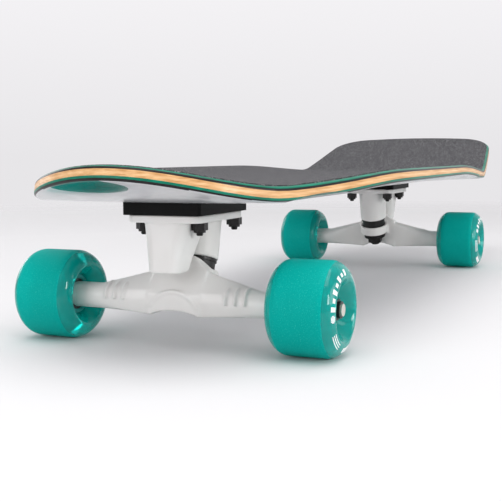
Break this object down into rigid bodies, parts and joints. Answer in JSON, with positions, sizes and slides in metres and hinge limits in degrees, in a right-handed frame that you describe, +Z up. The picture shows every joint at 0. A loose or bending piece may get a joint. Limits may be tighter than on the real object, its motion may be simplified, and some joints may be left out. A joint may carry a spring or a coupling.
{
  "type": "cruiser skateboard",
  "caption": "Cruiser skateboard: laminated deck with kicktail and upturned nose, kingpin trucks that steer by leaning, and free-rolling urethane wheels.",
  "frame": {"origin": "on the ground under the middle of the deck's overall length and width", "axes": "+X towards the nose, +Y to the rider's left, +Z up"},
  "size_m": [0.776, 0.244, 0.1502],
  "materials": {
    "grip": "coarse grit",
    "ply_green": "dyed veneer, clear coat",
    "ply_black": "dyed veneer, clear coat",
    "maple": "clear coat",
    "maple_cross": "clear coat, end grain",
    "deck_paint": "gloss paint under, dyed edge",
    "hardware_black": "black oxide",
    "riser_rubber": "satin",
    "bushing_black": "satin urethane",
    "truck_white": "satin cast",
    "steel": "ground",
    "urethane": "translucent cast urethane",
    "core_teal": "moulded",
    "bearing_dark": "dark shield"
  },
  "bodies": {
    "deck": {"grip_tape": "grip", "ply_top_green": "ply_green", "ply_upper_black": "ply_black", "core_upper_maple": "maple", "core_cross_maple": "maple_cross", "core_lower_maple": "maple", "ply_lower_green": "ply_green", "ply_bottom_black": "deck_paint", "deck_bolts": "hardware_black", "deck_nuts": "hardware_black", "front_riser_pad": "riser_rubber", "front_shim_pad": "riser_rubber", "front_baseplate": "truck_white", "front_pivot_cup": "bushing_black", "front_kingpin": "hardware_black", "front_kingpin_nut": "hardware_black", "front_upper_cup_washer": "hardware_black", "front_upper_bushing": "bushing_black", "front_lower_bushing": "bushing_black", "front_lower_cup_washer": "hardware_black", "rear_riser_pad": "riser_rubber", "rear_shim_pad": "riser_rubber", "rear_baseplate": "truck_white", "rear_pivot_cup": "bushing_black", "rear_kingpin": "hardware_black", "rear_kingpin_nut": "hardware_black", "rear_upper_cup_washer": "hardware_black", "rear_upper_bushing": "bushing_black", "rear_lower_bushing": "bushing_black", "rear_lower_cup_washer": "hardware_black"},
    "front_hanger_body": {"front_hanger": "truck_white", "front_axle": "steel", "front_bearing_inner_rings": "steel", "front_bearing_spacers": "steel", "front_speed_washers": "steel", "front_axle_nuts": "hardware_black"},
    "front_left_wheel": {"front_left_tyre": "urethane", "front_left_core": "core_teal", "front_left_bearing_outer_rings": "bearing_dark", "front_left_bearing_balls": "steel"},
    "front_right_wheel": {"front_right_tyre": "urethane", "front_right_core": "core_teal", "front_right_bearing_outer_rings": "bearing_dark", "front_right_bearing_balls": "steel"},
    "rear_hanger_body": {"rear_hanger": "truck_white", "rear_axle": "steel", "rear_bearing_inner_rings": "steel", "rear_bearing_spacers": "steel", "rear_speed_washers": "steel", "rear_axle_nuts": "hardware_black"},
    "rear_left_wheel": {"rear_left_tyre": "urethane", "rear_left_core": "core_teal", "rear_left_bearing_outer_rings": "bearing_dark", "rear_left_bearing_balls": "steel"},
    "rear_right_wheel": {"rear_right_tyre": "urethane", "rear_right_core": "core_teal", "rear_right_bearing_outer_rings": "bearing_dark", "rear_right_bearing_balls": "steel"}
  },
  "joints": [
    {"name": "front_steer", "type": "hinge", "parent": "deck", "child": "front_hanger_body", "pos_m": [0.30875, 0, 0.061], "axis": [0.9164, 0, 0.4003], "range_deg": [-12, 12], "stiffness_Nm_per_rad": 80, "deforming": ["front_upper_bushing", "front_lower_bushing"]},
    {"name": "front_left_wheel_spin", "type": "hinge", "parent": "front_hanger_body", "child": "front_left_wheel", "pos_m": [0.29575, 0.09435, 0.031], "axis": [0, 1, 0], "continuous": true},
    {"name": "front_right_wheel_spin", "type": "hinge", "parent": "front_hanger_body", "child": "front_right_wheel", "pos_m": [0.29575, -0.09435, 0.031], "axis": [0, 1, 0], "continuous": true},
    {"name": "rear_steer", "type": "hinge", "parent": "deck", "child": "rear_hanger_body", "pos_m": [-0.22175, 0, 0.061], "axis": [-0.9164, 0, 0.4003], "range_deg": [-12, 12], "stiffness_Nm_per_rad": 80, "deforming": ["rear_upper_bushing", "rear_lower_bushing"]},
    {"name": "rear_left_wheel_spin", "type": "hinge", "parent": "rear_hanger_body", "child": "rear_left_wheel", "pos_m": [-0.20875, 0.09435, 0.031], "axis": [0, 1, 0], "continuous": true},
    {"name": "rear_right_wheel_spin", "type": "hinge", "parent": "rear_hanger_body", "child": "rear_right_wheel", "pos_m": [-0.20875, -0.09435, 0.031], "axis": [0, 1, 0], "continuous": true}
  ]
}
